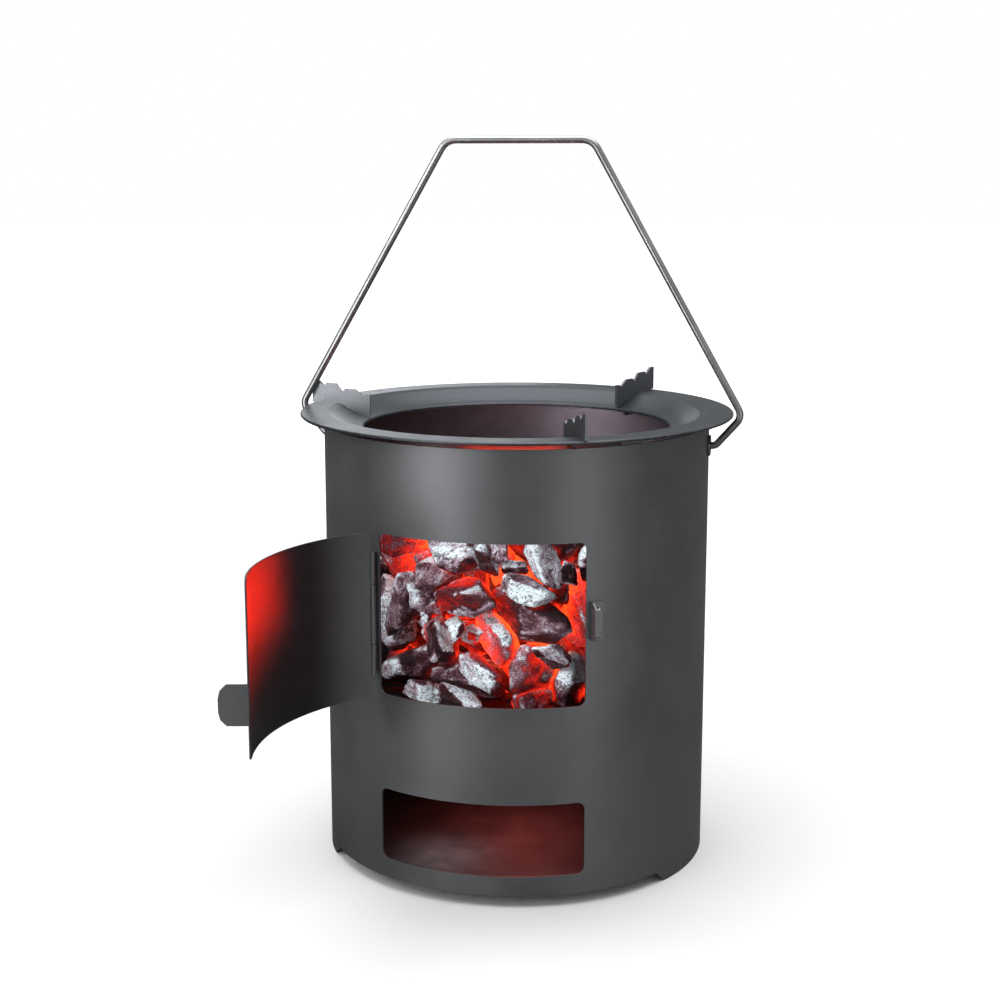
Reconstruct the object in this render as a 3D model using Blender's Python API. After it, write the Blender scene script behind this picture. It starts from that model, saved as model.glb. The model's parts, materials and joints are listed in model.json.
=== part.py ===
"""A round camp stove of sheet steel, carried by a wire bail.

Charcoal burns on a grate behind a window with a curved door, air enters through the ash
opening below it, and a pot stands on three stepped plates on the top ring.
Metres, +Z up. The origin is on the stove's axis at ground level, and the window faces -Y.
"""

import math
import random

import bmesh
import bpy
from mathutils import Matrix, Vector

GAP = 0.0003  # clearance between pieces that touch
CUT_PAST = 0.0100  # how far a cutter runs past the sheet it goes through

# Round body: a rolled sheet that stands on its lower edge
BODY_RADIUS = 0.1337
BODY_WALL = 0.0015
BODY_TOP = 0.3043
BODY_STEPS = 144
FRONT = math.radians(-90)
BACK = math.radians(90)
WINDOW_HALF = math.radians(30.9)
WINDOW_LOW, WINDOW_HIGH = 0.1360, 0.2440
ASH_LOW, ASH_HIGH = 0.0215, 0.0707
CORNER_RADIUS = 0.0050
FOOT_HEIGHT = 0.0081
FOOT_GAP_HALF = math.radians(56.6)
FOOT_SLANT = math.radians(4.0)

# Top ring: a shallow dish whose lip overhangs the body, drawn as its upper surface
RING_TOP = 0.3115
RING_SHEET = 0.0020
RING_PROFILE = (
    (0.1500, 0.0),
    (0.1310, 0.0),
    (0.1268, -0.0014),
    (0.1165, -0.0070),
    (0.1125, -0.0088),
    (0.1068, -0.0104),
)
RING_EDGE = 0.0006
RING_STEPS = 128
RING_BRACKET_ANGLES = (45, 135, 225, 315)
RING_BRACKET_SHEET = 0.0014
RING_BRACKET_WIDTH = 0.0150
RING_BRACKET_DROP = 0.0065
RING_BRACKET_REACH = 0.0095

# Pot supports: upright plates, each with a tab in a slot of the ring
SUPPORT_ANGLES = (58, 178, 298)
SUPPORT_SHEET = 0.0020
SUPPORT_TAB = (0.1172, 0.1258)
SUPPORT_TAB_DEPTH = 0.0165
SUPPORT_SLOT_PLAY = 0.0012
SUPPORT_CLEARANCE = 0.0004
SUPPORT_STEPS = (
    (0.1500, 0.0171),
    (0.1458, 0.0167),
    (0.1418, 0.0128),
    (0.1408, 0.0126),
    (0.1397, 0.0143),
    (0.1322, 0.0139),
    (0.1284, 0.0087),
    (0.1273, 0.0085),
    (0.1257, 0.0103),
    (0.1180, 0.0101),
    (0.1124, 0.0057),
    (0.1116, 0.0056),
    (0.1105, 0.0067),
    (0.1072, 0.0068),
)

# Bail: a round rod that leans on the left pot support
BAIL_PIVOT_Z = 0.2902
BAIL_ROD = 0.0025
BAIL_LEAN = math.radians(1.5)
BAIL_TOP_HALF = 0.0508
BAIL_TOP_Z = 0.4955
BAIL_WIDEST = (0.1564, 0.3106)
BAIL_ELBOW_X = 0.1385
BAIL_INNER_END = 0.1205
BAIL_HEAD_RADIUS = 0.0042
BAIL_HEAD_LENGTH = 0.0022
BAIL_HEAD_STEP = 0.0001
BAIL_ELBOW_BEND, BAIL_SIDE_BEND, BAIL_TOP_BEND = 0.005, 0.008, 0.012
BAIL_HOLE = 0.0034
EYELET_HOLE = 0.0032
EYELET_RADIUS = 0.0072
EYELET_SHEET = 0.0012

# Door: a curved panel that laps the window's edges, on a hinge at the window's left side
DOOR_OPEN = math.radians(104.5)
DOOR_LAP = 0.0015
DOOR_SHEET = 0.0012
DOOR_CORNER = 0.0030
DOOR_INNER_RADIUS = BODY_RADIUS + 0.0006
DOOR_OUTER_RADIUS = DOOR_INNER_RADIUS + DOOR_SHEET
DOOR_START = math.radians(-121.15)
DOOR_END = math.radians(-58.6)
HINGE_ANGLE = math.radians(-122.3)
HINGE_RADIUS = BODY_RADIUS + 0.0034
KNUCKLE_RADIUS = 0.0026
KNUCKLE_HOLE = 0.0015
HINGE_PIN = 0.0012
HINGE_LOW, HINGE_HIGH = 0.1500, 0.2300
HINGE_PIN_HEAD = 0.0026
HINGE_PIN_PROUD = 0.0012
KNUCKLE_ENDS = (0.1695, 0.2105)
KNUCKLE_PLAY = 0.0005
LEAF_SHEET = 0.0012
DOOR_LEAF_SPAN = (math.radians(0.25), math.radians(6.4))
DOOR_LEAF_RIVETS = math.radians(4.6)
DOOR_LEAF_RIVET_INSET = 0.0080
BODY_LEAF_SPAN = (math.radians(-6.6), math.radians(-2.2))
BODY_EAR_SPAN = (math.radians(-2.8), math.radians(0.1))
BODY_LEAF_RIVETS = math.radians(-4.6)
BODY_LEAF_RIVET_INSET = 0.0120

# Handle tab on the door, and the catch beside the window
TAB_LOW, TAB_HIGH = 0.1530, 0.1785
TAB_REACH = 0.0185
TAB_SHEET = 0.0018
TAB_ANGLE = math.radians(-62.6)
TAB_CORNERS = ((0.0050, 0.0), (0.0012, 0.00375), (0.0, 0.0085))
TAB_FOOT_SHEET = 0.0014
TAB_FOOT_LENGTH = 0.0105
TAB_FOOT_INSET = 0.0008
TAB_RIVETS = 0.0065
TAB_RIVET_INSET = 0.0060
CATCH_LOW, CATCH_HIGH = 0.1800, 0.2050
CATCH_ANGLE = math.radians(-58.05)
CATCH_RISE = 0.0085
CATCH_SHEET = 0.0010
CATCH_FOOT = 0.0085
CATCH_LIP = 0.0036
CATCH_SLANT = 0.0055
CATCH_SLANT_FOOT = 0.0022
CATCH_RIVETS = 0.0058
CATCH_RIVET_INSET = 0.0045
CATCH_RIVET_RADIUS = 0.0016

# Grate, ash floor and their brackets
GRATE_TOP = 0.1185
GRATE_SHEET = 0.0025
GRATE_RADIUS = 0.1275
GRATE_ROWS = 11
GRATE_PITCH = 0.0200
GRATE_SLOT = 0.0070
GRATE_RIM = 0.0120
GRATE_RIB = 0.0080
GRATE_BRACKET_ANGLES = (30, 150, 270)
GRATE_BRACKET_SHEET = 0.0015
GRATE_BRACKET_WIDTH = 0.0160
GRATE_BRACKET_DROP = 0.0150
GRATE_BRACKET_REACH = 0.0140
FLOOR_TOP = 0.0180
FLOOR_SHEET = 0.0015
FLOOR_BEND = 0.0015
FLOOR_RIM_LOW = 0.0128

# Charcoal: lumps packed in a heap that fits through the ring
LUMPS = 24
LUMP_GAP = 0.0012
HEAP_SIDES = 18
HEAP_OUTLINE = (
    (0.0960, 0.1192),
    (0.1020, 0.1300),
    (0.1025, 0.2280),
    (0.0800, 0.2460),
    (0.0380, 0.2540),
)
HEAP_SAMPLES = 2600
HEAP_ROUNDS = 9
HEAP_JITTER = 0.0050

RIVET_RADIUS = 0.0022
RIVET_RISE = 0.0011
RIVET_SIDES = 14
RIVET_LEVELS = 3

DARK_STEEL = {"color": (0.075, 0.078, 0.081), "roughness": 0.42, "metallic": 0.85}
RING_STEEL = {"color": (0.105, 0.110, 0.116), "roughness": 0.40, "metallic": 0.85}
SOOTED_STEEL = {"color": (0.040, 0.037, 0.036), "roughness": 0.62, "metallic": 0.70}
BRIGHT_STEEL = {"color": (0.560, 0.560, 0.565), "roughness": 0.22, "metallic": 1.0}
CHARCOAL = {"color": (0.055, 0.040, 0.040), "roughness": 0.85, "metallic": 0.0}


# Scene and materials


def clear_scene():
    for obj in list(bpy.data.objects):
        bpy.data.objects.remove(obj, do_unlink=True)


def make_material(name, look):
    material = bpy.data.materials.new(name)
    material.use_nodes = True
    shader = material.node_tree.nodes["Principled BSDF"]
    shader.inputs["Base Color"].default_value = (*look["color"], 1.0)
    shader.inputs["Roughness"].default_value = look["roughness"]
    shader.inputs["Metallic"].default_value = look["metallic"]
    return material


def make_object(name, bm, look, parent=None, sharp_deg=32):
    bmesh.ops.recalc_face_normals(bm, faces=bm.faces)
    mesh = bpy.data.meshes.new(name)
    bm.to_mesh(mesh)
    bm.free()
    mesh.shade_smooth()
    mesh.set_sharp_from_angle(angle=math.radians(sharp_deg))
    obj = bpy.data.objects.new(name, mesh)
    bpy.context.scene.collection.objects.link(obj)
    obj.parent = parent
    mesh.materials.append(make_material(name, look))
    return obj


def make_empty(name, location, angle=0.0, axis="Z"):
    empty = bpy.data.objects.new(name, None)
    empty.location = location
    empty.rotation_euler["XYZ".index(axis)] = angle
    empty.empty_display_size = 0.02
    bpy.context.scene.collection.objects.link(empty)
    return empty


# Shapes


def polar(radius, angle, z=0.0):
    return Vector((radius * math.cos(angle), radius * math.sin(angle), z))


def spin_section(bm, section, start=0.0, end=2 * math.pi, steps=BODY_STEPS):
    """Turns a closed (radius, z) outline about Z. A part turn gets end faces."""
    full = abs(end - start - 2 * math.pi) < 1e-9
    count = steps if full else steps + 1
    loops = [
        [bm.verts.new(polar(r, start + (end - start) * i / steps, z)) for r, z in section]
        for i in range(count)
    ]
    for i in range(steps):
        near, far = loops[i], loops[(i + 1) % count]
        for j in range(len(section)):
            k = (j + 1) % len(section)
            bm.faces.new((near[j], near[k], far[k], far[j]))
    if not full:
        bm.faces.new(loops[0])
        bm.faces.new(list(reversed(loops[-1])))


def arc_block(bm, inner, outer, start, end, low, high, steps=8):
    spin_section(bm, ((inner, low), (outer, low), (outer, high), (inner, high)), start, end, steps)


def extrude_outline(bm, outline, place_low, place_high):
    """Joins two placings of one flat outline with side faces and closes both ends."""
    low = [bm.verts.new(place_low(a, b)) for a, b in outline]
    high = [bm.verts.new(place_high(a, b)) for a, b in outline]
    bm.faces.new(low)
    bm.faces.new(list(reversed(high)))
    for i in range(len(outline)):
        j = (i + 1) % len(outline)
        bm.faces.new((low[i], high[i], high[j], low[j]))


def upright_plate(bm, outline, thickness):
    """An (x, z) outline given thickness along Y."""
    half = thickness / 2
    extrude_outline(bm, outline, lambda x, z: (x, -half, z), lambda x, z: (x, half, z))


def plan_block(bm, outline, low, high):
    """An (x, y) outline given height along Z."""
    extrude_outline(bm, outline, lambda x, y: (x, y, low), lambda x, y: (x, y, high))


def turned_disc(bm, radius, low, high, hole=0.0, steps=24):
    if hole:
        spin_section(bm, ((hole, low), (radius, low), (radius, high), (hole, high)), steps=steps)
    else:
        ring = [(radius * math.cos(a), radius * math.sin(a)) for a in turn_angles(steps)]
        plan_block(bm, ring, low, high)


def turn_angles(steps):
    return [2 * math.pi * i / steps for i in range(steps)]


def stack_rings(bm, levels, sides):
    """Rings of points at (radius, z) levels round Z, joined by side faces. The ends stay open."""
    loops = [[bm.verts.new(polar(r, a, z)) for a in turn_angles(sides)] for r, z in levels]
    join_loops(bm, loops, sides)
    return loops


def join_loops(bm, loops, sides):
    for near, far in zip(loops, loops[1:]):
        for j in range(sides):
            k = (j + 1) % sides
            bm.faces.new((near[j], near[k], far[k], far[j]))


def rounded_columns(start, end, low, high, corner, radius, steps=5):
    """A rounded rectangle on a round wall, as (angle, low z, high z) columns from one side to the other."""
    corner_angle = corner / radius
    side = []
    for i in range(steps + 1):
        turn = math.radians(90 * i / steps)
        inset = corner * (1 - math.sin(turn))
        side.append((corner_angle * (1 - math.cos(turn)), low + inset, high - inset))
    straight = end - start - 2 * corner_angle
    count = math.ceil(straight / math.radians(2.5))
    between = [(start + corner_angle + straight * i / count, low, high) for i in range(1, count)]
    return (
        [(start + a, z0, z1) for a, z0, z1 in side]
        + between
        + [(end - a, z0, z1) for a, z0, z1 in reversed(side)]
    )


def curved_sheet(bm, columns, inner, outer):
    """A round sheet between two radii, made of upright (angle, low z, high z) columns."""
    loops = []
    for angle, low, high in columns:
        corners = ((inner, low), (outer, low), (outer, high), (inner, high))
        loops.append([bm.verts.new(polar(r, angle, z)) for r, z in corners])
    join_loops(bm, loops, 4)
    bm.faces.new(loops[0])
    bm.faces.new(list(reversed(loops[-1])))


def wall_cutter(name, columns):
    """A guide solid that cuts its columns radially through the body wall."""
    bm = bmesh.new()
    curved_sheet(bm, columns, BODY_RADIUS - CUT_PAST, BODY_RADIUS + CUT_PAST)
    return as_guide(name, bm)


def as_guide(name, bm):
    cutter = make_object(name, bm, SOOTED_STEEL)
    cutter.hide_render = True
    cutter.display_type = "WIRE"
    return cutter


def cut(obj, cutter, operation="DIFFERENCE"):
    modifier = obj.modifiers.new(cutter.name, "BOOLEAN")
    modifier.object = cutter
    modifier.operation = operation
    modifier.solver = "EXACT"


def join_guide(obj, guide):
    guide.parent = obj.parent
    cut(obj, guide, "UNION")


def fillet(corner, before, after, radius, steps):
    """Points of an arc that rounds a corner of a flat path."""
    to_before = (before - corner).normalized()
    to_after = (after - corner).normalized()
    half = to_before.angle(to_after) / 2
    centre = corner + (to_before + to_after).normalized() * (radius / math.sin(half))
    start = corner + to_before * (radius / math.tan(half)) - centre
    end = corner + to_after * (radius / math.tan(half)) - centre
    axis, turn = start.cross(end), start.angle(end)
    return [centre + Matrix.Rotation(turn * i / steps, 3, axis) @ start for i in range(steps + 1)]


def sweep_rod(bm, path, sides):
    """A round rod along a path in the XZ plane. Each path point is a place with its radius."""
    loops = []
    for i, (point, radius) in enumerate(path):
        before, after = path[max(i - 1, 0)][0], path[min(i + 1, len(path) - 1)][0]
        across = (after - before).normalized().cross(Vector((0, 1, 0)))
        loops.append(
            [
                bm.verts.new(point + radius * (math.cos(t) * across + math.sin(t) * Vector((0, 1, 0))))
                for t in turn_angles(sides)
            ]
        )
    join_loops(bm, loops, sides)
    bm.faces.new(loops[0])
    bm.faces.new(list(reversed(loops[-1])))


# Body and ring


def build_body():
    inner = BODY_RADIUS - BODY_WALL
    bm = bmesh.new()
    spin_section(bm, ((inner, 0), (BODY_RADIUS, 0), (BODY_RADIUS, BODY_TOP), (inner, BODY_TOP)))
    body = make_object("body_shell", bm, DARK_STEEL)
    for name, low, high in (
        ("window_cutter", WINDOW_LOW, WINDOW_HIGH),
        ("ash_cutter", ASH_LOW, ASH_HIGH),
    ):
        start, end = FRONT - WINDOW_HALF, FRONT + WINDOW_HALF
        cut(body, wall_cutter(name, rounded_columns(start, end, low, high, CORNER_RADIUS, BODY_RADIUS)))
    for name, middle in (("front_foot_cutter", FRONT), ("back_foot_cutter", BACK)):
        cut(body, wall_cutter(name, foot_gap_columns(middle)))
    for name, side in (("left_pivot_cutter", -1), ("right_pivot_cutter", 1)):
        bm = bmesh.new()
        turned_disc(bm, BAIL_HOLE, -CUT_PAST, CUT_PAST)
        turn = Matrix.Rotation(math.radians(90), 4, "Y")
        bm.transform(Matrix.Translation((side * BODY_RADIUS, 0, BAIL_PIVOT_Z)) @ turn)
        cut(body, as_guide(name, bm))


def foot_gap_columns(middle):
    """A low gap between two feet, whose ends slant outwards to the ground."""
    below = 0.004
    spread = FOOT_GAP_HALF + FOOT_SLANT * (1 + 0.9 * below / FOOT_HEIGHT)
    count = math.ceil(2 * FOOT_GAP_HALF / math.radians(2.5))
    angles = [middle + FOOT_GAP_HALF * (2 * i / count - 1) for i in range(count + 1)]
    columns = [(angle, -below, FOOT_HEIGHT) for angle in angles]
    tip = -0.9 * below
    return [(middle - spread, -below, tip), *columns, (middle + spread, -below, tip)]


def ring_height(radius):
    for (outer_r, outer_z), (inner_r, inner_z) in zip(RING_PROFILE, RING_PROFILE[1:]):
        if radius >= inner_r:
            share = (outer_r - radius) / (outer_r - inner_r)
            return outer_z + share * (inner_z - outer_z)
    return RING_PROFILE[-1][1]


def build_ring():
    edge = RING_EDGE
    (lip_r, lip_z), (mouth_r, mouth_z) = RING_PROFILE[0], RING_PROFILE[-1]
    top = [(lip_r, lip_z - edge), (lip_r - edge, lip_z), *RING_PROFILE[1:-1]]
    top += [(mouth_r + edge, ring_height(mouth_r + edge)), (mouth_r, mouth_z - edge)]
    bottom = [(r, z - RING_SHEET) for r, z in reversed(RING_PROFILE[1:-1])]
    bottom = [(mouth_r, mouth_z - RING_SHEET), *bottom]
    bottom += [(lip_r - edge, lip_z - RING_SHEET), (lip_r, lip_z - RING_SHEET + edge)]
    section = [(r, RING_TOP + z) for r, z in reversed(top + bottom)]
    bm = bmesh.new()
    spin_section(bm, section, steps=RING_STEPS)
    ring = make_object("top_ring", bm, RING_STEEL)
    slot_half = SUPPORT_SHEET / 2 + GAP
    for number, degrees in enumerate(SUPPORT_ANGLES, 1):
        bm = bmesh.new()
        low, high = SUPPORT_TAB[0] - SUPPORT_SLOT_PLAY, SUPPORT_TAB[1] + SUPPORT_SLOT_PLAY
        outline = ((low, -slot_half), (high, -slot_half), (high, slot_half), (low, slot_half))
        plan_block(bm, outline, RING_TOP - 2 * CUT_PAST, RING_TOP + CUT_PAST)
        bm.transform(Matrix.Rotation(math.radians(degrees), 4, "Z"))
        cut(ring, as_guide(f"support_slot_cutter_{number}", bm))


def build_ring_brackets():
    """Each is a strip on the inside of the wall, turned outwards under the ring's lip."""
    outer = BODY_RADIUS - BODY_WALL - GAP
    sheet = RING_BRACKET_SHEET
    half = RING_BRACKET_WIDTH / 2 / outer
    low, top = BODY_TOP - RING_BRACKET_DROP, RING_TOP - RING_SHEET - GAP
    reach = BODY_RADIUS + RING_BRACKET_REACH
    section = (
        (outer - sheet, low),
        (outer, low),
        (outer, top - sheet),
        (reach, top - sheet),
        (reach, top),
        (outer - sheet, top),
    )
    for number, degrees in enumerate(RING_BRACKET_ANGLES, 1):
        bm = bmesh.new()
        middle = math.radians(degrees)
        spin_section(bm, section, middle - half, middle + half, 4)
        make_object(f"ring_bracket_{number}", bm, DARK_STEEL)


def build_supports():
    tab_low, tab_high = SUPPORT_TAB
    inner, outer = SUPPORT_STEPS[-1][0], SUPPORT_STEPS[0][0]
    bends = sorted(r for r, _ in RING_PROFILE[1:-1])
    seats = (
        [inner, *[r for r in bends if r < tab_low], tab_low],
        [tab_high, *[r for r in bends if r > tab_high], outer],
    )
    inner_seat, outer_seat = [[(r, ring_height(r) + SUPPORT_CLEARANCE) for r in seat] for seat in seats]
    tab = [(tab_low, -SUPPORT_TAB_DEPTH), (tab_high, -SUPPORT_TAB_DEPTH)]
    outline = inner_seat + tab + outer_seat + list(SUPPORT_STEPS)
    for number, degrees in enumerate(SUPPORT_ANGLES, 1):
        bm = bmesh.new()
        upright_plate(bm, outline, SUPPORT_SHEET)
        support = make_object(f"pot_support_{number}", bm, RING_STEEL)
        support.location = (0, 0, RING_TOP)
        support.rotation_euler.z = math.radians(degrees)


# Bail


def bail_half_path():
    """The rod's centre line from its inner end on the right side up to the middle of the grip."""
    inner = Vector((BAIL_INNER_END, 0, 0))
    elbow = Vector((BAIL_ELBOW_X, 0, 0))
    widest = Vector((BAIL_WIDEST[0], 0, BAIL_WIDEST[1] - BAIL_PIVOT_Z))
    shoulder = Vector((BAIL_TOP_HALF, 0, BAIL_TOP_Z - BAIL_PIVOT_Z))
    middle = Vector((0, 0, shoulder.z))
    head_end = inner + Vector((BAIL_HEAD_LENGTH, 0, 0))
    rod_start = head_end + Vector((BAIL_HEAD_STEP, 0, 0))
    path = [(inner, BAIL_HEAD_RADIUS), (head_end, BAIL_HEAD_RADIUS), (rod_start, BAIL_ROD)]
    for corner, before, after, radius, steps in (
        (elbow, inner, widest, BAIL_ELBOW_BEND, 5),
        (widest, elbow, shoulder, BAIL_SIDE_BEND, 8),
        (shoulder, widest, middle, BAIL_TOP_BEND, 8),
    ):
        path += [(point, BAIL_ROD) for point in fillet(corner, before, after, radius, steps)]
    return path


def build_bail():
    axis = make_empty("bail_axis", (0, 0, BAIL_PIVOT_Z), -BAIL_LEAN, "X")
    right = bail_half_path()
    left = [(Vector((-point.x, 0, point.z)), radius) for point, radius in reversed(right)]
    bm = bmesh.new()
    sweep_rod(bm, right + left, 16)
    make_object("bail_handle", bm, BRIGHT_STEEL, parent=axis, sharp_deg=40)
    for name, side in (("bail_eyelet_left", -1), ("bail_eyelet_right", 1)):
        bm = bmesh.new()
        turned_disc(bm, EYELET_RADIUS, 0, EYELET_SHEET, hole=EYELET_HOLE)
        bm.transform(Matrix.Rotation(math.radians(90 * side), 4, "Y"))
        eyelet = make_object(name, bm, BRIGHT_STEEL)
        eyelet.location = (side * (BODY_RADIUS + GAP), 0, BAIL_PIVOT_Z)


# Door, hinge, handle tab and catch


def hinge_point():
    return polar(HINGE_RADIUS, HINGE_ANGLE)


def knuckle_guide(name, low, high, shift):
    bm = bmesh.new()
    turned_disc(bm, KNUCKLE_RADIUS, low, high, hole=KNUCKLE_HOLE, steps=20)
    bm.transform(Matrix.Translation(shift))
    return as_guide(name, bm)


def pin_channel(name, low, high, shift):
    bm = bmesh.new()
    turned_disc(bm, KNUCKLE_HOLE, low - CUT_PAST, high + CUT_PAST, steps=20)
    bm.transform(Matrix.Translation(shift))
    return as_guide(name, bm)


def dome_rivet(name, place, normal, parent=None, radius=RIVET_RADIUS, rise=RIVET_RISE):
    bm = bmesh.new()
    turns = [math.radians(90 * i / RIVET_LEVELS) for i in range(RIVET_LEVELS)]
    loops = stack_rings(bm, [(radius * math.cos(t), rise * math.sin(t)) for t in turns], RIVET_SIDES)
    tip = bm.verts.new((0, 0, rise))
    bm.faces.new(list(reversed(loops[0])))
    for j in range(RIVET_SIDES):
        bm.faces.new((loops[-1][j], loops[-1][(j + 1) % RIVET_SIDES], tip))
    rivet = make_object(name, bm, DARK_STEEL, parent=parent, sharp_deg=60)
    rivet.rotation_euler = normal.to_track_quat("Z", "Y").to_euler()
    rivet.location = place
    return rivet


def wall_rivet(name, radius, angle, z, parent=None, shift=Vector()):
    """A rivet head standing on a round face of the given radius."""
    return dome_rivet(name, polar(radius + GAP, angle, z) - shift, polar(1, angle), parent)


def build_door():
    """The door and its fittings are laid out shut, then swung open with the empty on the hinge axis."""
    hinge = hinge_point()
    axis = make_empty("door_axis", hinge, -DOOR_OPEN)
    low, high = WINDOW_LOW - DOOR_LAP, WINDOW_HIGH + DOOR_LAP
    bm = bmesh.new()
    columns = rounded_columns(DOOR_START, DOOR_END, low, high, DOOR_CORNER, DOOR_INNER_RADIUS, 3)
    curved_sheet(bm, columns, DOOR_INNER_RADIUS, DOOR_OUTER_RADIUS)
    bm.transform(Matrix.Translation(-hinge))
    make_object("fire_door", bm, DARK_STEEL, parent=axis)
    build_door_leaf(axis, hinge)
    build_handle_tab(axis, hinge)


def build_door_leaf(axis, hinge):
    inner = DOOR_OUTER_RADIUS + GAP
    outer = inner + LEAF_SHEET
    low, high = KNUCKLE_ENDS[0] + KNUCKLE_PLAY, KNUCKLE_ENDS[1] - KNUCKLE_PLAY
    start, end = [HINGE_ANGLE + span for span in DOOR_LEAF_SPAN]
    bm = bmesh.new()
    arc_block(bm, inner, outer, start, end, low, high)
    bm.transform(Matrix.Translation(-hinge))
    leaf = make_object("hinge_door_leaf", bm, DARK_STEEL, parent=axis)
    join_guide(leaf, knuckle_guide("door_knuckle_guide", low, high, Vector()))
    channel = pin_channel("door_leaf_channel", low, high, Vector())
    channel.parent = axis
    cut(leaf, channel)
    for number, z in enumerate((low + DOOR_LEAF_RIVET_INSET, high - DOOR_LEAF_RIVET_INSET), 1):
        wall_rivet(f"door_leaf_rivet_{number}", outer, HINGE_ANGLE + DOOR_LEAF_RIVETS, z, axis, hinge)


def build_body_leaf():
    hinge = hinge_point()
    inner = BODY_RADIUS + GAP
    outer = inner + LEAF_SHEET
    start, end = [HINGE_ANGLE + span for span in BODY_LEAF_SPAN]
    ear_start, ear_end = [HINGE_ANGLE + span for span in BODY_EAR_SPAN]
    bm = bmesh.new()
    arc_block(bm, inner, outer, start, end, HINGE_LOW, HINGE_HIGH)
    leaf = make_object("hinge_body_leaf", bm, DARK_STEEL)
    spans = ((HINGE_LOW, KNUCKLE_ENDS[0]), (KNUCKLE_ENDS[1], HINGE_HIGH))
    for number, (low, high) in enumerate(spans, 1):
        bm = bmesh.new()
        arc_block(bm, inner, outer, ear_start, ear_end, low, high)
        join_guide(leaf, as_guide(f"leaf_ear_guide_{number}", bm))
        join_guide(leaf, knuckle_guide(f"body_knuckle_guide_{number}", low, high, hinge))
    cut(leaf, pin_channel("body_leaf_channel", HINGE_LOW, HINGE_HIGH, hinge))
    for number, z in enumerate((HINGE_LOW + BODY_LEAF_RIVET_INSET, HINGE_HIGH - BODY_LEAF_RIVET_INSET), 1):
        wall_rivet(f"body_leaf_rivet_{number}", outer, HINGE_ANGLE + BODY_LEAF_RIVETS, z)


def build_hinge_pin():
    """A pin whose head rests on the upper knuckle and whose tip shows under the lower one."""
    seat = HINGE_HIGH + GAP
    levels = (
        (HINGE_PIN, HINGE_LOW - HINGE_PIN_PROUD),
        (HINGE_PIN, seat),
        (HINGE_PIN_HEAD, seat),
        (HINGE_PIN_HEAD, HINGE_HIGH + HINGE_PIN_PROUD),
    )
    bm = bmesh.new()
    loops = stack_rings(bm, levels, 16)
    bm.faces.new(list(reversed(loops[0])))
    bm.faces.new(loops[-1])
    pin = make_object("hinge_pin", bm, DARK_STEEL)
    pin.location = hinge_point()


def build_handle_tab(axis, hinge):
    """A plate that stands out from the door, with a foot riveted to the door."""
    inner = DOOR_OUTER_RADIUS + GAP
    reach = DOOR_OUTER_RADIUS + TAB_REACH
    lower = [(reach - back, TAB_LOW + rise) for back, rise in TAB_CORNERS]
    upper = [(reach - back, TAB_HIGH - rise) for back, rise in reversed(TAB_CORNERS)]
    outline = [(inner, TAB_LOW), *lower, *upper, (inner, TAB_HIGH)]
    bm = bmesh.new()
    upright_plate(bm, outline, TAB_SHEET)
    bm.transform(Matrix.Translation(-hinge) @ Matrix.Rotation(TAB_ANGLE, 4, "Z"))
    tab = make_object("door_handle_tab", bm, DARK_STEEL, parent=axis)
    bm = bmesh.new()
    foot_end = TAB_ANGLE - TAB_FOOT_LENGTH / inner
    foot_outer = inner + TAB_FOOT_SHEET
    foot_low, foot_high = TAB_LOW + TAB_FOOT_INSET, TAB_HIGH - TAB_FOOT_INSET
    arc_block(bm, inner, foot_outer, foot_end, TAB_ANGLE, foot_low, foot_high, 4)
    bm.transform(Matrix.Translation(-hinge))
    join_guide(tab, as_guide("tab_foot_guide", bm))
    for number, z in enumerate((TAB_LOW + TAB_RIVET_INSET, TAB_HIGH - TAB_RIVET_INSET), 1):
        wall_rivet(f"tab_rivet_{number}", foot_outer, TAB_ANGLE - TAB_RIVETS / inner, z, axis, hinge)


def build_catch():
    """A bent keeper: a foot on the wall, a leg that the door's edge snaps behind, and a turned lip."""
    inner = BODY_RADIUS + GAP
    outer = inner + CATCH_RISE
    outline = (
        (inner, 0),
        (outer, 0),
        (outer, CATCH_LIP),
        (outer - CATCH_SHEET, CATCH_LIP),
        (outer - CATCH_SHEET, CATCH_SHEET),
        (inner + CATCH_SHEET, CATCH_SHEET),
        (inner + CATCH_SHEET, CATCH_FOOT),
        (inner, CATCH_FOOT),
    )
    turn = Matrix.Rotation(CATCH_ANGLE, 4, "Z")
    bm = bmesh.new()
    plan_block(bm, outline, CATCH_LOW, CATCH_HIGH)
    bm.transform(turn)
    catch = make_object("door_catch", bm, DARK_STEEL)
    past = CUT_PAST / 5
    for number, end, side in ((1, CATCH_LOW, -1), (2, CATCH_HIGH, 1)):
        corner = (
            (outer + past, end + side * past),
            (outer + past, end - side * CATCH_SLANT),
            (inner + CATCH_SLANT_FOOT, end + side * past),
        )
        bm = bmesh.new()
        upright_plate(bm, corner, 2 * CUT_PAST)
        bm.transform(turn)
        cut(catch, as_guide(f"catch_corner_cutter_{number}", bm))
    for number, z in enumerate((CATCH_LOW + CATCH_RIVET_INSET, CATCH_HIGH - CATCH_RIVET_INSET), 1):
        face = inner + CATCH_SHEET
        place = turn @ Vector((face + GAP, CATCH_RIVETS, z))
        dome_rivet(f"catch_rivet_{number}", place, polar(1, CATCH_ANGLE), radius=CATCH_RIVET_RADIUS)


# Grate and floor


def slot_outline(low, high, middle, half):
    """A slot along X with round ends."""
    steps = 5
    points = []
    for centre, first in ((high - half, -90), (low + half, 90)):
        for i in range(steps + 1):
            turn = math.radians(first + 180 * i / steps)
            points.append((centre + half * math.cos(turn), middle + half * math.sin(turn)))
    return points


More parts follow.
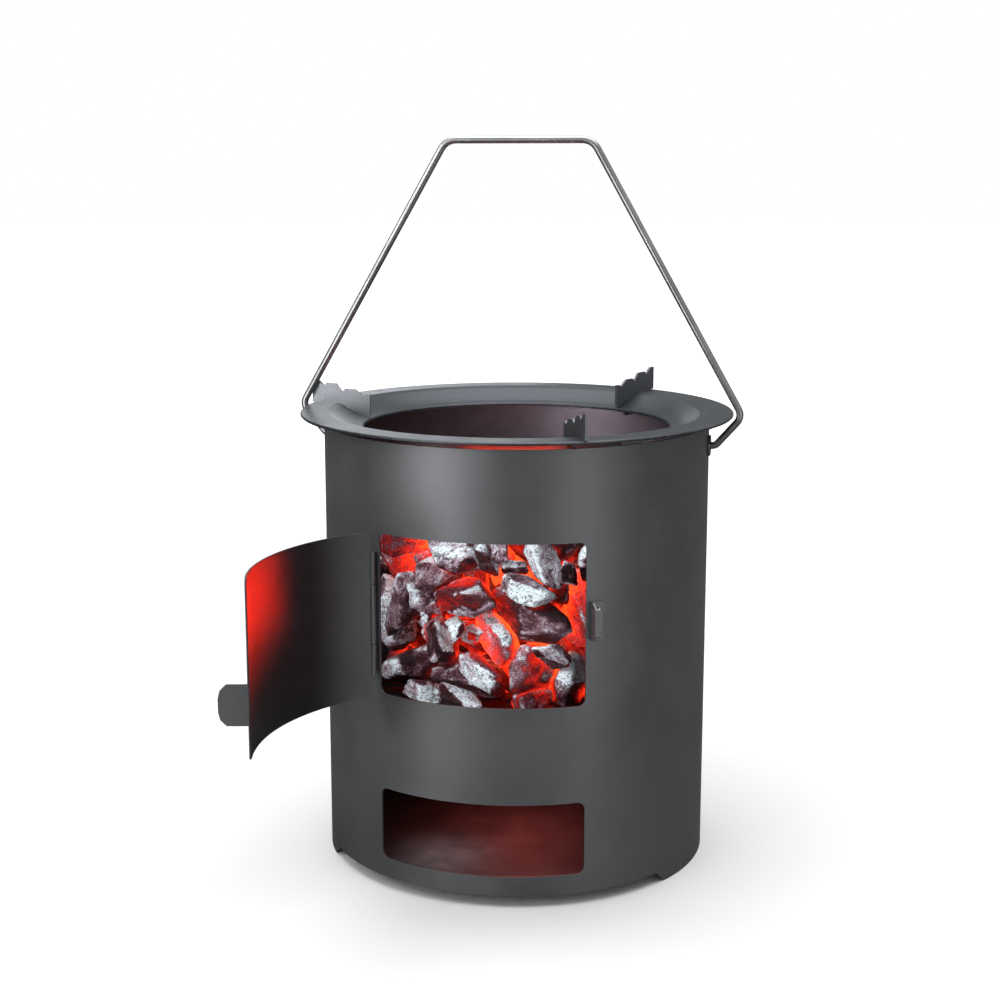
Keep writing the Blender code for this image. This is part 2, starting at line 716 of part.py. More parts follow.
def build_grate():
    bm = bmesh.new()
    turned_disc(bm, GRATE_RADIUS, GRATE_TOP - GRATE_SHEET, GRATE_TOP, steps=96)
    grate = make_object("fire_grate", bm, SOOTED_STEEL)
    bm = bmesh.new()
    half = GRATE_SLOT / 2
    for row in range(GRATE_ROWS):
        middle = (row - (GRATE_ROWS - 1) / 2) * GRATE_PITCH
        room = GRATE_RADIUS - GRATE_RIM
        if abs(middle) + half >= room:
            continue
        reach = math.sqrt(room**2 - (abs(middle) + half) ** 2)
        for side in (-1, 1):
            ends = sorted((side * GRATE_RIB / 2, side * reach))
            if ends[1] - ends[0] > 2.5 * GRATE_SLOT:
                outline = slot_outline(*ends, middle, half)
                plan_block(bm, outline, GRATE_TOP - CUT_PAST, GRATE_TOP + CUT_PAST)
    cut(grate, as_guide("grate_slot_cutter", bm))


def build_grate_brackets():
    """Angle pieces on the inside of the wall, each with a shelf under the grate's rim."""
    outer = BODY_RADIUS - BODY_WALL - GAP
    sheet = GRATE_BRACKET_SHEET
    top = GRATE_TOP - GRATE_SHEET - GAP
    low, reach = top - GRATE_BRACKET_DROP, outer - GRATE_BRACKET_REACH
    section = (
        (outer - sheet, low),
        (outer, low),
        (outer, top),
        (reach, top),
        (reach, top - sheet),
        (outer - sheet, top - sheet),
    )
    half = GRATE_BRACKET_WIDTH / 2 / outer
    for number, degrees in enumerate(GRATE_BRACKET_ANGLES, 1):
        bm = bmesh.new()
        middle = math.radians(degrees)
        spin_section(bm, section, middle - half, middle + half, 4)
        make_object(f"grate_bracket_{number}", bm, SOOTED_STEEL)


def build_floor():
    """A pressed pan whose rim turns down along the wall."""
    outer = BODY_RADIUS - BODY_WALL - GAP
    inner = outer - FLOOR_SHEET
    inner_bend = FLOOR_BEND / 4
    levels = (
        (outer - FLOOR_BEND, FLOOR_TOP),
        (outer, FLOOR_TOP - FLOOR_BEND),
        (outer, FLOOR_RIM_LOW),
        (inner, FLOOR_RIM_LOW),
        (inner, FLOOR_TOP - FLOOR_SHEET - inner_bend),
        (inner - inner_bend, FLOOR_TOP - FLOOR_SHEET),
    )
    bm = bmesh.new()
    loops = stack_rings(bm, levels, 96)
    bm.faces.new(list(reversed(loops[0])))
    bm.faces.new(loops[-1])
    make_object("ash_floor", bm, SOOTED_STEEL)


# Charcoal


def heap_points():
    return [polar(r, a, z) for r, z in HEAP_OUTLINE for a in turn_angles(HEAP_SIDES)]


def inside_heap(point):
    radius = math.hypot(point.x, point.y)
    low, high = HEAP_OUTLINE[0][1], HEAP_OUTLINE[-1][1]
    if not low < point.z < high:
        return False
    for (r0, z0), (r1, z1) in zip(HEAP_OUTLINE, HEAP_OUTLINE[1:]):
        if z0 <= point.z <= z1:
            return radius < r0 + (r1 - r0) * (point.z - z0) / (z1 - z0)
    return False


def spread_seeds(count):
    """Seeds spread evenly through the heap: each moves to the middle of the samples nearest to it."""
    draw = random.Random(11)
    reach = max(r for r, _ in HEAP_OUTLINE)
    low, high = HEAP_OUTLINE[0][1], HEAP_OUTLINE[-1][1]
    cloud = []
    while len(cloud) < HEAP_SAMPLES:
        x, y = draw.uniform(-reach, reach), draw.uniform(-reach, reach)
        point = Vector((x, y, draw.uniform(low, high)))
        if inside_heap(point):
            cloud.append(point)
    seeds = [point.copy() for point in cloud[:count]]
    for _ in range(HEAP_ROUNDS):
        groups = [[] for _ in seeds]
        for point in cloud:
            nearest = min(range(count), key=lambda i: (seeds[i] - point).length_squared)
            groups[nearest].append(point)
        seeds = [sum(g, Vector()) / len(g) if g else s for g, s in zip(groups, seeds)]
    return [s + Vector([draw.uniform(-HEAP_JITTER, HEAP_JITTER) for _ in range(3)]) for s in seeds]


def build_charcoal():
    """The heap is divided among its seeds by the planes midway between them, one lump to each seed."""
    seeds = spread_seeds(LUMPS)
    for number, seed in enumerate(seeds, 1):
        bm = hull_of(heap_points())
        for other in seeds:
            if other is seed:
                continue
            between = (other - seed).normalized()
            place = (seed + other) / 2 - between * (LUMP_GAP / 2)
            geometry = bm.verts[:] + bm.edges[:] + bm.faces[:]
            bmesh.ops.bisect_plane(bm, geom=geometry, plane_co=place, plane_no=between, clear_outer=True)
            points = [v.co.copy() for v in bm.verts]
            bm.free()
            bm = hull_of(points)
        make_object(f"charcoal_lump_{number:02d}", bm, CHARCOAL, sharp_deg=1)


def hull_of(points):
    bm = bmesh.new()
    for point in points:
        bm.verts.new(point)
    bmesh.ops.remove_doubles(bm, verts=bm.verts, dist=1e-4)
    hull = bmesh.ops.convex_hull(bm, input=bm.verts)
    inner = {item for item in hull["geom_interior"] if isinstance(item, bmesh.types.BMVert)}
    bmesh.ops.delete(bm, geom=list(inner), context="VERTS")
    bmesh.ops.dissolve_limit(bm, angle_limit=math.radians(0.5), verts=bm.verts, edges=bm.edges)
    return bm


def main():
    clear_scene()
    build_body()
    build_ring()
    build_ring_brackets()
    build_supports()
    build_bail()
    build_door()
    build_body_leaf()
    build_hinge_pin()
    build_catch()
    build_grate()
    build_grate_brackets()
    build_floor()
    build_charcoal()


main()
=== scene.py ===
"""Looks for the rocket stove: steel finishes, a bed of glowing charcoal, studio light and camera."""

import json
import math

import bmesh
import bpy
import numpy as np
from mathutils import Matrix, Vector, noise

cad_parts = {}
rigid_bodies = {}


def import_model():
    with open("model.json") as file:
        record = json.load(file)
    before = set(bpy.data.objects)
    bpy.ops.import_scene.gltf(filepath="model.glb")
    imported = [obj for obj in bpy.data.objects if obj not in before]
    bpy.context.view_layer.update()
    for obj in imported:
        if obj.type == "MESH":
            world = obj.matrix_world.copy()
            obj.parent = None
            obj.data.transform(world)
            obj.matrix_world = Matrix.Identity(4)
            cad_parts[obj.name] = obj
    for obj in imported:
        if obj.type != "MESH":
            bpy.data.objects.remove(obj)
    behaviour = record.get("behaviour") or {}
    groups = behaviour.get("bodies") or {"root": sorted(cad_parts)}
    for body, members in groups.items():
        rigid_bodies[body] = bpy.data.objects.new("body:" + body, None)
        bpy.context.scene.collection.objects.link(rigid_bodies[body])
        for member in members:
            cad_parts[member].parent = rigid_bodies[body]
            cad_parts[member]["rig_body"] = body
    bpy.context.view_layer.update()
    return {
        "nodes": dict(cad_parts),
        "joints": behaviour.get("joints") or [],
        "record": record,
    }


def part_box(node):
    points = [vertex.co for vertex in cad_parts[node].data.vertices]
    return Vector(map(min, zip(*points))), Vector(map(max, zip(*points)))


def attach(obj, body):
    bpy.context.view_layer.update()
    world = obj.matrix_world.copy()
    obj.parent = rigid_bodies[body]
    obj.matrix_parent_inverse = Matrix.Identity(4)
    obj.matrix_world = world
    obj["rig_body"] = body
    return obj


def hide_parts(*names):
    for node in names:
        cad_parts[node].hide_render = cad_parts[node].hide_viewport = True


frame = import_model()
NODES = frame["nodes"]
JOINTS = {joint["name"]: joint for joint in frame["joints"]}
OPENINGS = {hole["name"]: hole for hole in frame["record"]["physics"]["openings"]}

# Camera, solved in the object's own frame
CAMERA_PLACE = (0.2356, -1.1797, 0.4804)
CAMERA_PITCH = math.radians(90 - 10.99)
CAMERA_TURN = math.radians(11.85)
CAMERA_LENS = 62.63
CAMERA_SENSOR = 36.0

# Charcoal heap, in metres. Over its shoulder it narrows towards the top.
LUMPS = [name for name in NODES if name.startswith("charcoal_lump")]
HEAP_REACH = 0.1035
HEAP_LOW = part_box("fire_grate")[1].z + 0.0007
HEAP_HIGH = max(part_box(name)[1].z for name in LUMPS)
HEAP_SHOULDER = 0.026
HEAP_NARROWING = 0.045
HEAP_ROUNDNESS = 1.6
HEAP_UNEVENNESS = 0.005
HEAP_SAMPLES = 20000
SAMPLE_MARGIN = 0.003
SETTLE_ROUNDS = 10

# One lump. A size is a share of the mean spacing, with its odds. The stretch is the least and the most
# along the grain, across it and through it, and the tilt makes the grain lie flatter than at random. The
# entries of COAL_FACES are an axis, how much its faces lean, and how near and how far they lie, as shares
# of the lump's half size. Each lump stays COAL_GAP short of the plane between it and its neighbour, and
# no cut comes nearer to its middle than COAL_LEAST. The rim is how wide an edge counts as one.
COAL_COUNT = 200
COAL_SEED = 23
COAL_SIZES = ((0.60, 0.42), (0.95, 0.26), (1.50, 0.32))
COAL_STRETCH = ((1.45, 0.78, 0.46), (2.30, 1.08, 0.80))
COAL_GRAIN_TILT = (1.0, 1.0, 0.7)
COAL_FACES = ((1, 0.20, 0.70, 1.0), (2, 0.14, 0.78, 1.05), (0, 0.42, 0.70, 1.0))
COAL_CHIPS = 5
COAL_CHIP_DEPTH = (0.66, 0.92)
COAL_SHARPNESS = 190
COAL_GAP = 0.0005
COAL_LEAST = 0.0015
COAL_NEIGHBOURS = 35
COAL_RIM = 0.035

# A lump's surface: how fine each pattern is along and across the grain, and how deep, in metres. The
# fractal's three numbers are how fast its octaves fade, the step between them, and how many there are.
# The whole surface is then drawn in by the inset.
FRACTAL = (0.9, 2.1, 4)
ROUGH_SCALE = (26, 75, 75)
ROUGH_DEPTH = 0.0007
LEDGE_SCALE = (12, 110, 60)
LEDGE_STEPS = 2.2
LEDGE_DEPTH = 0.0008
SPLIT_SCALE = (16, 62, 62)
SPLIT_WIDTH = 0.10
SPLIT_FROM = 0.05
SPLIT_DEPTH = 0.0018
SWELL_LIMITS = (-0.0032, 0.0009)
SURFACE_INSET = 0.0004

# Heat. The first group says where a point counts as hot, in metres: in a gap between lumps, under the
# heap's surface, and round one hot spot. The second says how much each of these adds to the glow, with
# the lump's own heat and its patch of the heap.
HEAT_NEIGHBOURS = 16
WIDEST_GAP = 0.05
CREVICE_WIDTH = 0.0024
COOL_DEPTH = 0.007
HOT_DEPTH = 0.024
TOP_WEIGHT = 1.2
HOT_SPOT = np.array((0.035, -0.095, 0.165))
HOT_SPOT_REACH = 0.045
PATCH_SCALE = 18
PATCH_SHIFT = Vector((3.1, 0.4, 7.7))

CREVICE_HEAT = 0.30
DEEP_HEAT = 0.50
OWN_HEAT = 0.62
PATCH_HEAT = 0.34
CORE_HEAT = 0.34
COOLING = 0.01

# Which lumps belong to the front piece and which to the top piece
FRONT_RADIUS = 0.046
FRONT_TURN = math.radians(80)
TOP_DEPTH = 0.038


# Node materials


def fill_ramp(node, stops):
    """Gives a colour ramp these (place, colour) stops and no others."""
    elements = node.color_ramp.elements
    elements.remove(elements[1])
    elements[0].position = stops[0][0]
    elements[0].color = (*stops[0][1], 1.0)
    for place, colour in stops[1:]:
        elements.new(place).color = (*colour, 1.0)


class Look:
    """One node material, built call by call. Every helper returns a socket."""

    def __init__(self, name):
        self.material = bpy.data.materials.new(name)
        self.material.use_nodes = True
        self.tree = self.material.node_tree
        self.shader = self.tree.nodes["Principled BSDF"]

    def feed(self, socket, value):
        if isinstance(value, bpy.types.NodeSocket):
            self.tree.links.new(value, socket)
        else:
            socket.default_value = value

    def node(self, kind, inputs=None, **settings):
        made = self.tree.nodes.new(kind)
        for key, value in settings.items():
            setattr(made, key, value)
        for key, value in (inputs or {}).items():
            self.feed(made.inputs[key], value)
        return made

    def set(self, **inputs):
        for key, value in inputs.items():
            self.feed(self.shader.inputs[key.replace("_", " ")], value)

    def place(self):
        return self.node("ShaderNodeTexCoord").outputs["Object"]

    def attribute(self, name):
        return self.node("ShaderNodeAttribute", attribute_name=name)

    def math(self, operation, a, b=0.0):
        return self.node("ShaderNodeMath", {0: a, 1: b}, operation=operation).outputs[0]

    def times(self, a, b):
        return self.math("MULTIPLY", a, b)

    def plus(self, total, *others):
        for other in others:
            total = self.math("ADD", total, other)
        return total

    def vector(self, operation, a, b=(0, 0, 0)):
        made = self.node("ShaderNodeVectorMath", {0: a, 1: b}, operation=operation)
        return made.outputs["Value" if operation in ("LENGTH", "DOT_PRODUCT") else "Vector"]

    def stretch(self, vector, factors):
        return self.vector("MULTIPLY", vector, factors)

    def scale(self, vector, number):
        made = self.node("ShaderNodeVectorMath", {0: vector, "Scale": number}, operation="SCALE")
        return made.outputs["Vector"]

    def turn(self, vector, angle, centre=(0, 0, 0)):
        inputs = {"Vector": vector, "Center": centre, "Axis": (0, 0, 1), "Angle": angle}
        return self.node("ShaderNodeVectorRotate", inputs, rotation_type="AXIS_ANGLE").outputs[0]

    def parts(self, vector):
        return self.node("ShaderNodeSeparateXYZ", {0: vector}).outputs

    def facing_up(self):
        return self.parts(self.node("ShaderNodeNewGeometry").outputs["Normal"])[2]

    def join(self, x, y, z=0.0):
        return self.node("ShaderNodeCombineXYZ", {0: x, 1: y, 2: z}).outputs[0]

    def noise(self, vector, scale, detail=4.0, rough=0.55, twist=0.0):
        inputs = {"Vector": vector, "Scale": scale, "Detail": detail}
        inputs.update({"Roughness": rough, "Distortion": twist})
        return self.node("ShaderNodeTexNoise", inputs).outputs["Fac"]

    def cell_edges(self, vector):
        inputs = {"Vector": vector, "Scale": 1.0}
        return self.node("ShaderNodeTexVoronoi", inputs, feature="DISTANCE_TO_EDGE").outputs["Distance"]

    def span(self, value, low, high, to_low=0.0, to_high=1.0):
        """value between low and high, eased and clamped, as a number between to_low and to_high."""
        inputs = {"Value": value, "From Min": low, "From Max": high, "To Min": to_low, "To Max": to_high}
        return self.node("ShaderNodeMapRange", inputs, interpolation_type="SMOOTHSTEP").outputs[0]

    def mix(self, share, a, b):
        made = self.node("ShaderNodeMix", data_type="RGBA")
        colours = [s for s in made.inputs if s.type == "RGBA"]
        self.feed(made.inputs["Factor"], share)
        for socket, value in zip(colours, (a, b)):
            self.feed(socket, value if isinstance(value, bpy.types.NodeSocket) else (*value, 1.0))
        return next(s for s in made.outputs if s.type == "RGBA")

    def ramp(self, value, stops):
        made = self.node("ShaderNodeValToRGB", {"Fac": value})
        fill_ramp(made, stops)
        return made.outputs["Color"]

    def bump(self, height, distance, strength, under=None):
        inputs = {"Height": height, "Distance": distance, "Strength": strength}
        if under is not None:
            inputs["Normal"] = under
        return self.node("ShaderNodeBump", inputs).outputs[0]

    def edges(self):
        """Near 1 where the surface turns sharply, and 0 on flat or gently round faces."""
        rounded = self.node("ShaderNodeBevel", {"Radius": EDGE_WEAR}, samples=4).outputs[0]
        flat = self.node("ShaderNodeNewGeometry").outputs["Normal"]
        return self.span(self.vector("DOT_PRODUCT", rounded, flat), *EDGE_TURN)


def round_wall(look, place):
    """Radius from the stove's axis, length along the wall from its front, and height."""
    x, y, z = look.parts(place)
    radius = look.vector("LENGTH", look.join(x, y))
    angle = look.math("ARCTAN2", x, look.times(y, -1.0))
    return radius, look.times(angle, BODY_RADIUS), z


# Steel finishes

BODY_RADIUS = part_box("body_shell")[1].x
DOOR_OPEN = math.radians(104.5)
BRIGHT = ("bail_handle", "bail_eyelet_left", "bail_eyelet_right")
FIRE_SIDE = ("fire_grate", "ash_floor")
INNER_FACE = (0.0004, 0.0010)
DOOR_HOLLOW = (0.0014, 0.0008)
WELD_DISTANCE = 1e-6
SHARP_ANGLE = math.radians(45)

# How squarely a face looks away from the axis before it counts as part of the round wall. How far from an
# edge the wear reaches, and how sharply the surface turns there.
WALL_FACING = (0.9965, 0.9985)
EDGE_WEAR = 0.0009
EDGE_TURN = (0.985, 0.80)

# Base colours, and the colours that they wear to
BODY_TONE = (0.212, 0.216, 0.224)
RING_TONE = (0.070, 0.077, 0.086)
TAB_TONE = (0.27, 0.275, 0.285)
SUPPORT_TONE = (0.20, 0.21, 0.225)
SHEET_WORN = (0.36, 0.36, 0.37)
DOOR_WORN = (0.40, 0.40, 0.41)
FITTING_WORN = (0.42, 0.42, 0.43)
ROD_DULL = (0.22, 0.21, 0.21)
ASH_TONE = (0.30, 0.28, 0.28)
ROD_TONES = ((0.25, (0.40, 0.40, 0.41)), (0.6, (0.50, 0.50, 0.51)), (0.85, (0.56, 0.56, 0.56)))
SOOT_TONES = ((0.30, (0.056, 0.049, 0.053)), (0.55, (0.070, 0.061, 0.065)), (0.8, (0.086, 0.076, 0.081)))
FIRE_TONES = ((0.28, (0.052, 0.045, 0.047)), (0.5, (0.072, 0.064, 0.066)), (0.8, (0.095, 0.084, 0.086)))

# How fine the sheet's grain is along x, y and z: drawn round the wall, or even for pressed pieces
DRAWN_GRAIN = (60, 60, 900)
EVEN_GRAIN = (160, 160, 160)


def shut_place(look, place):
    """A point on the open door, brought back to where it is when the door is shut."""
    return look.turn(place, DOOR_OPEN, JOINTS["door_hinge"]["pos_m"])


def round_normal(look, place, on_door):
    """Turns the facets of a wall that is round about the stove's axis into one smooth curve."""
    normal = look.node("ShaderNodeTexCoord").outputs["Normal"]
    if on_door:
        place, normal = shut_place(look, place), look.turn(normal, DOOR_OPEN)
    x, y, z = look.parts(normal)
    level = look.join(x, y)
    outwards = look.parts(place)
    radial = look.vector("NORMALIZE", look.join(outwards[0], outwards[1]))
    facing = look.vector("DOT_PRODUCT", radial, level)
    straight = look.math("DIVIDE", look.math("ABSOLUTE", facing), look.vector("LENGTH", level))
    curved = look.vector("ADD", look.scale(radial, facing), look.join(0.0, 0.0, z))
    change = look.vector("SUBTRACT", curved, normal)
    normal = look.vector("ADD", normal, look.scale(change, look.span(straight, *WALL_FACING)))
    if on_door:
        normal = look.turn(normal, -DOOR_OPEN)
    inputs = {"Vector": normal}
    settings = {"vector_type": "NORMAL", "convert_from": "OBJECT", "convert_to": "WORLD"}
    return look.node("ShaderNodeVectorTransform", inputs, **settings).outputs[0]


def steel(name, colour, worn, rough=0.46, grain=DRAWN_GRAIN, sooted=None, soot_tone=1.0, curve=None):
    """Satin coated sheet: fine grain, patchy gloss, handling marks, and bare metal along the edges."""
    look = Look(name)
    place = look.place()
    fine = look.noise(look.stretch(place, grain), 9.0, detail=3.0, rough=0.6)
    patches = look.noise(place, 14.0, detail=5.0, rough=0.6, twist=0.4)
    specks = look.noise(place, 900.0, detail=2.0, rough=0.5)
    streaks = look.noise(look.stretch(place, (1.0, 1.0, 2.4)), 70.0, detail=8.0, rough=0.72)
    scuffs = look.span(streaks, 0.62, 0.78)
    tone = look.plus(look.span(patches, 0.25, 0.75, 0.90, 1.09), look.span(fine, 0.2, 0.8, -0.05, 0.05))
    plain = look.scale(colour, tone)
    broken = look.span(look.noise(place, 160.0, detail=6.0, rough=0.7), 0.36, 0.62)
    edge = look.times(look.edges(), broken)
    marked = look.mix(look.times(scuffs, 0.25), plain, worn)
    colours = look.mix(look.times(edge, 0.75), marked, worn)
    gloss = look.span(patches, 0.2, 0.8, rough - 0.05, rough + 0.07)
    roughness = look.plus(gloss, look.span(specks, 0.3, 0.7, -0.03, 0.03))
    if sooted is not None:
        inside = sooted(look, place)
        smoke = look.noise(place, 28.0, detail=6.0, rough=0.65, twist=0.8)
        soot = look.ramp(smoke, [(at, [soot_tone * part for part in shade]) for at, shade in SOOT_TONES])
        colours = look.mix(inside, colours, soot)
    height = look.plus(look.times(fine, 0.6), look.times(specks, 0.5))
    under = None if curve is None else round_normal(look, place, curve == "door")
    look.set(Base_Color=colours, Roughness=roughness, Metallic=0.90)
    look.set(Normal=look.bump(height, 0.00006, 0.6, under))
    return look.material


def inside_body(look, place):
    """1 on the shell's inner face, and 0 on its outer one."""
    radius, _, _ = round_wall(look, place)
    return look.span(radius, *(BODY_RADIUS - depth for depth in INNER_FACE))


def inside_door(look, place):
    """The door's hollow face, more so away from its hinge, in its shut place on the wall."""
    radius, along, _ = round_wall(look, shut_place(look, place))
    hollow = look.span(radius, *(BODY_RADIUS + height for height in DOOR_HOLLOW))
    return look.times(hollow, look.span(along, -0.066, -0.022, 0.15, 1.0))


def bright_rod(name):
    """Drawn steel rod: faint draw marks and a few dull, slightly darker stretches."""
    look = Look(name)
    place = look.place()
    marks = look.noise(look.stretch(place, (40, 120, 40)), 1.0, detail=3.0, rough=0.5)
    dull = look.span(look.noise(place, 26.0, detail=4.0, rough=0.5), 0.45, 0.75)
    look.set(Base_Color=look.mix(look.times(dull, 0.35), look.ramp(marks, ROD_TONES), ROD_DULL))
    roughness = look.plus(look.span(marks, 0.2, 0.8, 0.26, 0.33), look.times(dull, 0.08))
    look.set(Roughness=roughness, Metallic=1.0, Normal=look.bump(marks, 0.00001, 0.1))
    return look.material


def sooted_steel(name, ash):
    """Fire-side steel: soot, heat scale in soft patches, and a dusting of grey ash on faces turned up."""
    look = Look(name)
    place = look.place()
    heat_scale = look.noise(place, 45.0, detail=7.0, rough=0.7, twist=0.6)
    grit = look.noise(place, 700.0, detail=3.0, rough=0.6)
    drifts = look.span(look.noise(place, 60.0, detail=9.0, rough=0.75), 0.50, 0.72)
    dust = look.times(look.span(look.facing_up(), 0.5, 0.95), drifts)
    look.set(Base_Color=look.mix(look.times(dust, ash), look.ramp(heat_scale, FIRE_TONES), ASH_TONE))
    look.set(Roughness=look.span(heat_scale, 0.2, 0.8, 0.42, 0.66), Metallic=0.5)
    height = look.plus(look.times(grit, 0.4), heat_scale)
    look.set(Normal=look.bump(height, 0.00025, 0.5))
    return look.material


def smooth_twin(name, node):
    """Stands for a small round CAD node: the same shape, joined up so that its facets shade smoothly."""
    bm = bmesh.new()
    bm.from_mesh(node.data)
    bmesh.ops.remove_doubles(bm, verts=bm.verts, dist=WELD_DISTANCE)
    bm.verts.index_update()
    mesh = bpy.data.meshes.new(name + "_smooth")
    mesh.from_pydata([v.co[:] for v in bm.verts], [], [[v.index for v in f.verts] for f in bm.faces])
    bm.free()
    mesh.shade_smooth()
    mesh.set_sharp_from_angle(angle=SHARP_ANGLE)
    mesh.materials.append(node.data.materials[0])
    piece = bpy.data.objects.new(name + "_smooth", mesh)
    bpy.context.scene.collection.objects.link(piece)
    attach(piece, node["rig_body"])
    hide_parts(name)


def paint_nodes():
    body = steel("dark_steel", BODY_TONE, SHEET_WORN, sooted=inside_body, soot_tone=1.9, curve="body")
    fittings = steel("fitting_steel", BODY_TONE, FITTING_WORN, rough=0.40)
    door = steel("door_steel", BODY_TONE, DOOR_WORN, sooted=inside_door, soot_tone=0.75, curve="door")
    tab = steel("tab_steel", TAB_TONE, FITTING_WORN, rough=0.36)
    ring = steel("ring_steel", RING_TONE, SHEET_WORN, rough=0.42, grain=EVEN_GRAIN, curve="body")
    plate = steel("support_steel", SUPPORT_TONE, FITTING_WORN, rough=0.40, grain=EVEN_GRAIN)
    rod = bright_rod("bright_steel")
    fire_side = sooted_steel("sooted_steel", ash=0.12)
    own = {"body_shell": body, "fire_door": door, "top_ring": ring, "door_handle_tab": tab}
    for name, node in NODES.items():
        if name.startswith("charcoal"):
            continue
        if name in own:
            material = own[name]
        elif name in BRIGHT:
            material = rod
        elif name.startswith("pot_support"):
            material = plate
        elif name in FIRE_SIDE or name.startswith("grate_bracket"):
            material = fire_side
        else:
            material = fittings
        node.data.materials.clear()
        node.data.materials.append(material)
        if name == "bail_handle" or "rivet" in name:
            smooth_twin(name, node)


# Charcoal


def heap_limit(z):
    """The heap's radius at a height: straight below, drawn in over its top."""
    over = max(0.0, (z - (HEAP_HIGH - HEAP_SHOULDER)) / HEAP_SHOULDER)
    return HEAP_REACH - HEAP_NARROWING * over**HEAP_ROUNDNESS


def unit(vectors):
    return vectors / np.linalg.norm(vectors, axis=-1, keepdims=True)


class Coal:
    """One lump: a rough block along its own grain, cut where it meets its neighbours."""

    def __init__(self, seed, draw, spacing):
        self.seed = seed
        grain = unit(draw.normal(0, 1, 3) * COAL_GRAIN_TILT)
        across = unit(np.cross(grain, draw.normal(0, 1, 3)))
        self.axes = np.stack((grain, across, np.cross(grain, across)))
        size = draw.choice([share for share, _ in COAL_SIZES], p=[odds for _, odds in COAL_SIZES])
        stretch = draw.uniform(*COAL_STRETCH)
        self.half = 0.5 * spacing * size * stretch
        self.measure = (self.axes / self.half[:, None]).T
        self.warmth = draw.uniform(0, 1)
        self.ashes = draw.uniform(0, 1)
        self.shift = draw.uniform(0, 50, 3)
        self.normals, self.offsets = self.own_faces(draw)

    def own_faces(self, draw):
        """Split faces beside the grain, broken ends across it, and chipped corners."""
        normals, offsets = [], []
        for axis, lean, low, high in COAL_FACES:
            for side in (-1, 1):
                for _ in range(2):
                    normals.append(unit(side * self.axes[axis] + draw.normal(0, lean, 3)))
                    offsets.append(self.half[axis] * draw.uniform(low, high))
        for _ in range(COAL_CHIPS):
            corner = draw.choice((-1, 1), 3) * draw.uniform(0.35, 1.0, 3)
            offsets.append(np.linalg.norm(self.half * corner) * draw.uniform(*COAL_CHIP_DEPTH))
            normals.append(unit((self.half * corner) @ self.axes))
        return normals, offsets

    def cut(self, normal, offset):
        self.normals.append(normal)
        self.offsets.append(max(offset, COAL_LEAST))

    def finish(self, draw):
        self.normals = np.array(self.normals)
        self.offsets = np.array(self.offsets)
        self.tones = draw.uniform(0, 1, len(self.offsets))

    def facing(self, directions):
        return np.maximum(directions @ self.normals.T, 0) / self.offsets

    def reach(self, directions):
        """How far the lump goes from its seed in each direction, with its edges a little rounded."""
        facing = self.facing(directions)
        nearest = facing.max(-1, keepdims=True)
        rounding = ((facing / nearest) ** COAL_SHARPNESS).sum(-1) ** (1.0 / COAL_SHARPNESS)
        return 1.0 / (nearest[..., 0] * rounding)

    def faces_seen(self, directions):
        """The tone of the face that each direction meets, and how near it is to an edge of that face."""
        facing = self.facing(directions)
        first, second = np.sort(facing, axis=-1)[:, :-3:-1].T
        return self.tones[facing.argmax(-1)], np.exp((second - first) / first / COAL_RIM)


def heap_samples(draw):
    low, high = (-HEAP_REACH, -HEAP_REACH, HEAP_LOW), (HEAP_REACH, HEAP_REACH, HEAP_HIGH)
    cloud = draw.uniform(low, high, (HEAP_SAMPLES, 3))
    limits = np.array([heap_limit(z) for z in cloud[:, 2]])
    return cloud[np.hypot(cloud[:, 0], cloud[:, 1]) < limits - SAMPLE_MARGIN]


def settle(coals, cloud):
    """Moves each lump to the middle of the samples that are nearest to it by its own measure."""
    for _ in range(SETTLE_ROUNDS):
        apart = np.stack([(((cloud - coal.seed) @ coal.measure) ** 2).sum(1) for coal in coals])
        nearest = apart.argmin(0)
        for i, coal in enumerate(coals):
            group = cloud[nearest == i]
            if len(group):
                coal.seed = group.mean(0)


def part_from(coal, other):
    """Cuts a lump by the plane between it and its neighbour, nearer to the smaller of the two."""
    way = other.seed - coal.seed
    here, there = way @ coal.measure, way @ other.measure
    share = np.linalg.norm(there) / (np.linalg.norm(here) + np.linalg.norm(there))
    normal = unit(share * (coal.measure @ here) + (1 - share) * (other.measure @ there))
    coal.cut(normal, share * float(normal @ way) - COAL_GAP)


def lay_coals():
    draw = np.random.default_rng(COAL_SEED)
    cloud = heap_samples(draw)
    volume = math.pi * HEAP_REACH**2 * (HEAP_HIGH - HEAP_LOW)
    spacing = (volume / COAL_COUNT) ** (1 / 3)
    coals = [Coal(seed, draw, spacing) for seed in cloud[:COAL_COUNT]]
    settle(coals, cloud)
    seeds = np.array([coal.seed for coal in coals])
    for coal in coals:
        nearest = np.argsort(np.linalg.norm(seeds - coal.seed, axis=1))
        coal.near = [coals[j] for j in nearest[1 : COAL_NEIGHBOURS + 1]]
        for other in coal.near:
            part_from(coal, other)
        radius = math.hypot(*coal.seed[:2])
        outwards = np.array([coal.seed[0] / radius, coal.seed[1] / radius, 0.0])
        coal.cut(outwards, heap_limit(coal.seed[2]) - radius - draw.uniform(0, HEAP_UNEVENNESS))
        coal.cut(np.array([0, 0, -1.0]), coal.seed[2] - HEAP_LOW)
        coal.cut(np.array([0, 0, 1.0]), HEAP_HIGH - coal.seed[2])
        coal.finish(draw)
    return coals


def ball(level):
    bm = bmesh.new()
    bmesh.ops.create_icosphere(bm, subdivisions=level, radius=1.0)
    points = np.array([v.co for v in bm.verts])
    faces = [[v.index for v in f.verts] for f in bm.faces]
    bm.free()
    return unit(points), np.array(faces)


